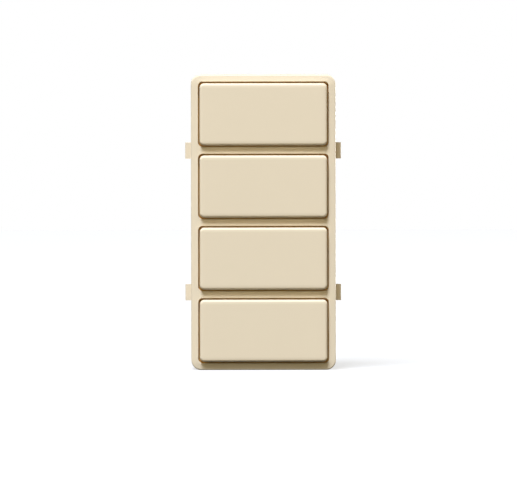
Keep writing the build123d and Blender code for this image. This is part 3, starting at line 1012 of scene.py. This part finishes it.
@dataclass
class CoverScrews:
    """Four pan-head screws with a cross recess and a cut thread, in place of the plain CAD ones."""

    node: str = "cover_screws"
    head_radius: float = 1.9 * MM
    head_height: float = 1.2 * MM
    crown: float = 0.62 * MM
    crown_profile: float = 0.45
    sides: int = 48
    recess_length: float = 2.3 * MM
    recess_width: float = 0.6 * MM
    recess_depth: float = 0.8 * MM
    recess_taper: float = 0.5
    edge: float = 0.03 * MM
    crest: float = 0.98 * MM
    root: float = 0.74 * MM
    pitch: float = 0.62 * MM
    flank: float = 0.186 * MM
    land: float = 0.0744 * MM
    overlap: float = 0.1 * MM
    steps: int = 20
    lead_in: float = 1.5
    spare_turns: int = 2
    angles: tuple[float, float, float, float] = (12.0, 38.0, 67.0, 81.0)

    def blade(self, name: str, seat: Vector) -> Piece:
        """Model one tapered blade of the tool that presses the recess.

        Args:
            name: Name of the blade.
            seat: Middle of the head's rear face in metres.

        Returns:
            The blade.
        """
        half = Vector((self.recess_length / 2, 0.0, self.recess_width / 2))
        floor = seat - Vector((0.0, self.recess_depth, 0.0))
        tool = block(name, floor - half, seat + half + Vector((0.0, self.recess_depth, 0.0)))
        with Shaping(tool) as shaping:
            shaping.pick("FACE", lambda a, b: b.y < floor.y + NEAR)
            narrow = (self.recess_taper, 1.0, self.recess_taper)
            bpy.ops.transform.resize(value=narrow, center_override=floor)
        return tool

    def head(self, name: str, seat: Vector) -> Piece:
        """Model the crowned head and press the cross recess into it.

        Args:
            name: Name of the screw.
            seat: Middle of the head's rear face in metres.

        Returns:
            The head.
        """
        middle = seat - Vector((0.0, self.head_height / 2, 0.0))
        bpy.ops.object.select_all(action="DESELECT")
        bpy.ops.mesh.primitive_cylinder_add(
            vertices=self.sides, radius=self.head_radius, depth=self.head_height,
            location=middle, rotation=UPRIGHT,
        )
        head = settle(name)
        with Shaping(head) as shaping:
            shaping.pick("EDGE", lambda a, b: a.y > seat.y - NEAR)
            shaping.bevel(self.crown, segments=6, profile=self.crown_profile)
            shaping.face_outwards()
        tool = self.blade("recess_tool", seat)
        cross = copied(tool, "recess_cross", turned(seat, 90.0))
        for blade in (tool, cross):
            refine(head, "BOOLEAN", operation="DIFFERENCE", object=blade, solver="EXACT")
            bpy.data.objects.remove(blade)
        soften(head, self.edge, sharp=40.0)
        return head

    def shank(self, name: str, start: Vector, end: Vector) -> Piece:
        """Cut the thread along the shank.

        Args:
            name: Name of the screw.
            start: Middle of the head's seat in metres.
            end: Middle of the tip in metres.

        Returns:
            The shank.
        """
        ridge = self.flank + self.land
        profile = [(self.root, 0.0), (self.crest, self.flank), (self.crest, ridge)]
        profile += [(self.root, ridge + self.flank), (self.root, self.pitch)]
        points = [Vector((radius, -depth, 0.0)) for radius, depth in profile]
        thread = outline(f"{name}_shank", points)
        spare = self.lead_in * self.pitch
        turns = math.ceil((start.y - end.y) / self.pitch) + self.spare_turns
        refine(
            thread, "SCREW", axis="Y", screw_offset=-self.pitch, iterations=turns,
            steps=self.steps, render_steps=self.steps, use_merge_vertices=False,
        )
        thread.data.transform(Matrix.Translation(start + Vector((0.0, spare, 0.0))))
        with Shaping(thread) as shaping:
            shaping.face_outwards()
            inside_head = start + Vector((0.0, self.overlap, 0.0))
            for point, side in ((inside_head, 1.0), (end, -1.0)):
                shaping.everything()
                bpy.ops.mesh.bisect(
                    plane_co=point, plane_no=(0.0, side, 0.0),
                    use_fill=True, clear_outer=True, threshold=NEAR,
                )
            shaping.face_outwards()
        return thread

    def build(self) -> None:
        """Model one screw and set it in the four corners."""
        low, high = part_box(self.node)
        across = high.x - self.head_radius
        up = high.z - self.head_radius
        seat = Vector((across, high.y, up))
        under = seat - Vector((0.0, self.head_height, 0.0))
        tip = Vector((across, low.y, up))
        screw = self.head("screw", seat)
        shank = self.shank("screw", under, tip)
        refine(screw, "BOOLEAN", operation="UNION", object=shank, solver="EXACT")
        bpy.data.objects.remove(shank)
        with Shaping(screw) as shaping:
            shaping.face_outwards()
        finish = ZINC.material()
        places = ((0.0, 0.0), (-2 * across, 0.0), (0.0, -2 * up), (-2 * across, -2 * up))
        for number, (place, angle) in enumerate(zip(places, self.angles), start=1):
            move = Matrix.Translation((place[0], 0.0, place[1])) @ turned(seat, angle)
            twin = copied(screw, f"cover_screw_{number}", move)
            stands_for = [self.node] if number == 1 else []
            fit(twin, finish, Body.HOUSING, Slot.SCREW_STEEL, *stands_for)
        bpy.data.objects.remove(screw)


@dataclass
class RearShell:
    """The rear cover, the battery cap and the raised marks on the cap."""

    cover_node: str = "rear_cover"
    cap_node: str = "battery_cap"
    lift: float = 0.07 * MM
    arrow_radius: float = 9.2 * MM
    arrow_width: float = 0.7 * MM
    arrow_start: float = 20.0
    arrow_sweep: float = 52.0
    arrow_steps: int = 26
    arrow_gap: float = 4.0
    arrow_head: float = 1.05 * MM
    pointer_radius: float = 11.1 * MM
    pointer_size: float = 0.8 * MM
    edge: float = 0.02 * MM

    def triangle(self, name: str, centre: Vector, size: float, turn: float) -> Piece:
        """Draw a flat triangle on the cap's face.

        Args:
            name: Name of the piece.
            centre: Its middle in metres.
            size: Radius through its corners in metres.
            turn: Angle of its tip from straight up, towards +X, in degrees.

        Returns:
            The triangle.
        """
        bpy.ops.object.select_all(action="DESELECT")
        bpy.ops.mesh.primitive_circle_add(
            vertices=3, radius=size, fill_type="NGON", location=centre, rotation=UPRIGHT
        )
        piece = settle(name)
        piece.data.transform(turned(centre, turn))
        return piece

    def cap_marks(self) -> None:
        """Raise a turning arrow and a pointer on the cap."""
        low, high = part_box(self.cap_node)
        centre = Vector(((low.x + high.x) / 2, high.y, (low.z + high.z) / 2))
        start = turned(centre, self.arrow_start)
        half = self.arrow_width / 2
        ends = [centre + Vector((0.0, 0.0, self.arrow_radius + side * half)) for side in (-1, 1)]
        arc = outline("cap_marks", [start @ end for end in ends])
        with Shaping(arc) as shaping:
            bpy.ops.mesh.select_mode(type="VERT")
            shaping.everything()
            sweep = math.radians(self.arrow_sweep)
            bpy.ops.mesh.spin(steps=self.arrow_steps, angle=-sweep, center=centre, axis=REARWARDS)
        tip = self.arrow_start + self.arrow_sweep + self.arrow_gap
        nose = turned(centre, tip) @ (centre + Vector((0.0, 0.0, self.arrow_radius)))
        head = self.triangle("arrow_head", nose, self.arrow_head, tip + 90.0)
        top = centre + Vector((0.0, 0.0, self.pointer_radius))
        pointer = self.triangle("pointer", top, self.pointer_size, 0.0)
        marks = joined("cap_marks", arc, head, pointer)
        with Shaping(marks) as shaping:
            shaping.everything()
            shaping.pull((0.0, self.lift, 0.0))
            shaping.face_outwards()
        soften(marks, self.edge, sharp=50.0)
        fit(marks, MARK_GREY.material(), Body.BATTERY_CAP, Slot.REAR_PLASTIC)

    def build(self) -> None:
        """Dress the cover and cap, and raise the marks."""
        dress(COVER_CHARCOAL.material(), self.cover_node)
        dress(CAP_CHARCOAL.material(), self.cap_node)
        self.cap_marks()


@dataclass
class Studio:
    """Floor, lamps, surrounding light and camera.

    The camera's turn, lift and roll are in degrees. Each span gives the part of a direction over
    which the surrounding light changes.
    """

    picture: tuple[int, int] = (517, 482)
    metres_per_pixel: float = 0.2252 * MM
    object_pixel: Pair = (263.5, 222.45)
    sensor: float = 36.0
    clip: Pair = (0.01, 20.0)
    distance: float = 2.5
    turn: float = -0.45
    lift: float = 1.75
    roll: float = 0.09
    face: float = -12.8 * MM
    floor_size: float = 2.0
    floor_gap: float = 0.02 * MM
    floor_grey: float = 0.25
    floor_bounce: float = 0.03
    floor_glow: float = 0.68
    fill: float = 0.72
    fill_colour: Colour = (1.0, 0.848, 0.495)
    rear_colour: Colour = (0.6, 0.6, 0.62)
    rear_span: Pair = (0.0, 0.4)
    overhead_colour: Colour = (0.3, 0.3, 0.3)
    overhead_span: Pair = (0.5, 0.9)
    key_colour: Colour = (0.94, 1.016, 1.17)
    key_power: float = 510.0
    key_way: tuple[float, float, float] = (-0.18, -0.515, 0.848)
    key_distance: float = 6.0
    key_size: Pair = (2.0, 2.9)
    back_power: float = 5.0
    back_place: tuple[float, float, float] = (0.55, 0.6, 0.0)
    back_size: Pair = (0.35, 0.05)

    def camera(self) -> None:
        """Set the camera in front of the face, a little above it."""
        data = bpy.data.cameras.new("camera")
        camera = bpy.data.objects.new("camera", data)
        bpy.context.scene.collection.objects.link(camera)
        data.sensor_width = self.sensor
        data.lens = self.sensor * self.distance / (self.picture[0] * self.metres_per_pixel)
        data.clip_start, data.clip_end = self.clip
        across = (self.picture[0] / 2 - self.object_pixel[0]) * self.metres_per_pixel
        up = (self.object_pixel[1] - self.picture[1] / 2) * self.metres_per_pixel
        aim = Vector((across, self.face, up))
        camera.location = (
            self.distance * math.tan(math.radians(self.turn)),
            self.face - self.distance,
            self.distance * math.tan(math.radians(self.lift)),
        )
        camera.rotation_mode = "QUATERNION"
        sight = (aim - camera.location).to_track_quat("-Z", "Y")
        camera.rotation_quaternion = sight @ Quaternion((0.0, 0.0, 1.0), math.radians(-self.roll))
        bpy.context.scene.camera = camera

    def lamp(self, name: str, place: Vector, size: Pair, power: float, colour: Colour) -> None:
        """Hang a rectangular soft lamp that looks at the object.

        Args:
            name: Name of the lamp.
            place: Its place in metres.
            size: Width and height in metres.
            power: Power in watts.
            colour: Linear colour.
        """
        data = bpy.data.lights.new(name, "AREA")
        data.shape = "RECTANGLE"
        data.size, data.size_y = size
        data.energy = power
        data.color = colour
        lamp = bpy.data.objects.new(name, data)
        bpy.context.scene.collection.objects.link(lamp)
        lamp.location = place
        lamp.rotation_mode = "QUATERNION"
        lamp.rotation_quaternion = (-place).to_track_quat("-Z", "Y")

    def seen(self, sheet: NodeSheet) -> Socket:
        """Tell camera, mirror and see-through rays from the rest.

        Args:
            sheet: Nodes of the floor or the surroundings.

        Returns:
            A socket that is 1 for such rays and 0 for the rest.
        """
        path = sheet.add("LightPath", {}).outputs
        indirect = sheet.maths("MAXIMUM", path["Is Glossy Ray"], path["Is Transmission Ray"])
        return sheet.maths("MAXIMUM", path["Is Camera Ray"], indirect)

    def fill_light(self, sheet: NodeSheet) -> Socket:
        """Colour the surrounding light: warm in front, neutral behind and dim overhead.

        Args:
            sheet: Nodes of the surroundings.

        Returns:
            The colour socket.
        """
        way = sheet.add("SeparateXYZ", {0: sheet.add("TexCoord", {}).outputs["Generated"]}).outputs
        behind = sheet.ramp(way["Y"], self.rear_span, (0.0, 1.0))
        overhead = sheet.ramp(way["Z"], self.overhead_span, (0.0, 1.0))
        around = sheet.blend(behind, self.fill_colour, self.rear_colour)
        return sheet.blend(overhead, around, self.overhead_colour)

    def surroundings(self) -> None:
        """Light the scene softly, and show white to the camera and to shiny surfaces."""
        world = bpy.data.worlds.new("surroundings")
        bpy.context.scene.world = world
        world.use_nodes = True
        sheet = NodeSheet(world.node_tree)
        even = sheet.add("Background", {"Color": self.fill_light(sheet), "Strength": self.fill})
        white = sheet.add("Background", {"Color": (*WHITE, 1.0), "Strength": 1.0})
        mix = sheet.add("MixShader", {0: self.seen(sheet), 1: even.outputs[0], 2: white.outputs[0]})
        sheet.add("OutputWorld", {"Surface": mix.outputs[0]})

    def floor(self) -> None:
        """Lay a plain pale floor that reads white and keeps the shadow."""
        bpy.ops.object.select_all(action="DESELECT")
        level = CAD_BOX[0].z - self.floor_gap
        bpy.ops.mesh.primitive_plane_add(size=self.floor_size, location=(0.0, 0.0, level))
        floor = settle("floor")
        material = bpy.data.materials.new("pale_floor")
        material.use_nodes = True
        sheet = NodeSheet(material.node_tree)
        greys = [(grey, grey, grey, 1.0) for grey in (self.floor_grey, self.floor_bounce)]
        paint, dull = (sheet.add("BsdfDiffuse", {"Color": grey}).outputs[0] for grey in greys)
        glow = sheet.add("Emission", {"Strength": self.floor_glow})
        both = sheet.add("AddShader", {0: paint, 1: glow.outputs[0]})
        mix = sheet.add("MixShader", {0: self.seen(sheet), 1: dull, 2: both.outputs[0]})
        sheet.add("OutputMaterial", {"Surface": mix.outputs[0]})
        floor.data.materials.append(material)

    def build(self) -> None:
        """Set up the whole studio."""
        self.floor()
        self.surroundings()
        key = self.key_distance * Vector(self.key_way)
        self.lamp("key", key, self.key_size, self.key_power, self.key_colour)
        self.lamp("back", Vector(self.back_place), self.back_size, self.back_power, WHITE)
        self.camera()
        bpy.context.scene.view_settings.view_transform = "Standard"


def main() -> None:
    """Dress and model the sub-assemblies, and set up the studio."""
    logging.basicConfig(level=logging.INFO, format="%(name)s: %(message)s")
    assemblies = (
        FaceKit(), SwitchBoard(), ChipParts(), RadioModule(),
        CellHolder(), CoverScrews(), RearShell(),
    )
    for assembly in assemblies:
        log.info("building %s", type(assembly).__name__)
        assembly.build()
    Studio().build()


if __name__ == "__main__":
    main()
